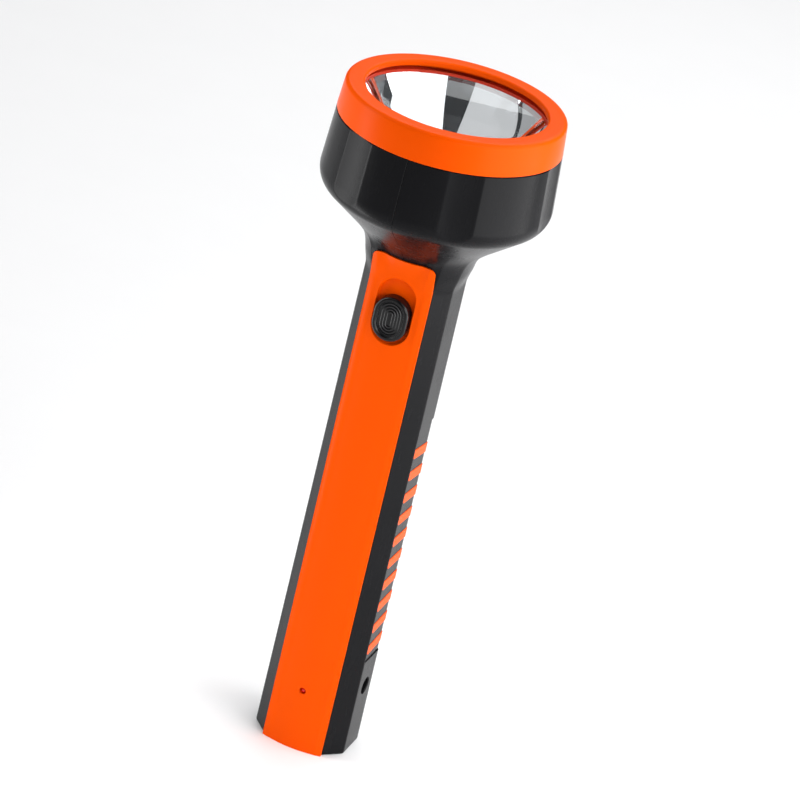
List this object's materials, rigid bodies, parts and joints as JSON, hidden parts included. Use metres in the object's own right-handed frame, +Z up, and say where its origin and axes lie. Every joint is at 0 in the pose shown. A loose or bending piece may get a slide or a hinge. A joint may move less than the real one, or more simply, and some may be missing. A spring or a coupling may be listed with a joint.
{
  "type": "hand torch",
  "caption": "Rechargeable hand torch: octagonal handle with a coloured front panel and thumb slide switch, flaring into a round lamp head with a mirror reflector.",
  "frame": {"origin": "middle of the flat base that the torch stands on, lens up", "axes": "+Z up the torch from the base to the lens; -Y the front, with the coloured panel and the switch; +X the side with the charging socket"},
  "size_m": [0.0818, 0.0828, 0.2565],
  "materials": {
    "orange_plastic": "semi-gloss moulded orange",
    "black_plastic": "semi-gloss moulded black with a faint fine texture",
    "switch_black": "gloss black",
    "clear_lens": "clear polished window",
    "seal_rubber": "matt",
    "mirror_plating": "vacuum plated mirror",
    "heat_sink_metal": "milled",
    "board_metal": "white solder mask",
    "lamp_phosphor": "silicone dome over yellow phosphor",
    "plated_steel": "nickel plated",
    "white_plastic": "moulded",
    "contact_brass": "bright",
    "board_green": "solder mask over glass fibre",
    "component_black": "moulded",
    "indicator_red": "diffused red",
    "cell_wrap": "shrink wrap",
    "cradle_plastic": "moulded",
    "lead_red": "soft insulation",
    "lead_black": "soft insulation"
  },
  "bodies": {
    "torch_body": {"bezel_ring": "orange_plastic", "lens_window": "clear_lens", "lens_gasket": "seal_rubber", "reflector": "mirror_plating", "lamp_heat_sink": "heat_sink_metal", "lamp_board": "board_metal", "lamp_screws": "plated_steel", "lamp_emitter": "lamp_phosphor", "right_body_shell": "black_plastic", "left_body_shell": "black_plastic", "body_screws": "plated_steel", "front_panel": "orange_plastic", "switch_housing": "switch_black", "switch_terminals": "contact_brass", "switch_screws": "plated_steel", "right_grip_insert": "orange_plastic", "left_grip_insert": "orange_plastic", "main_board": "board_green", "board_screws": "plated_steel", "charge_controller": "component_black", "board_components": "component_black", "charge_indicator": "indicator_red", "charging_socket": "component_black", "socket_centre_pin": "plated_steel", "battery_cell": "cell_wrap", "battery_cradle": "cradle_plastic", "battery_spring": "plated_steel", "battery_plate": "plated_steel", "lamp_lead_live": "lead_red", "switch_lead": "lead_red", "lamp_lead_return": "lead_black", "battery_lead_positive": "lead_red", "battery_lead_negative": "lead_black"},
    "switch": {"switch_knob": "switch_black", "switch_slider": "white_plastic", "switch_contact": "contact_brass"}
  },
  "joints": [
    {"name": "switch_slide", "type": "slide", "parent": "torch_body", "child": "switch", "axis": [0, 0, 1], "range_m": [0, 0.0056]}
  ]
}
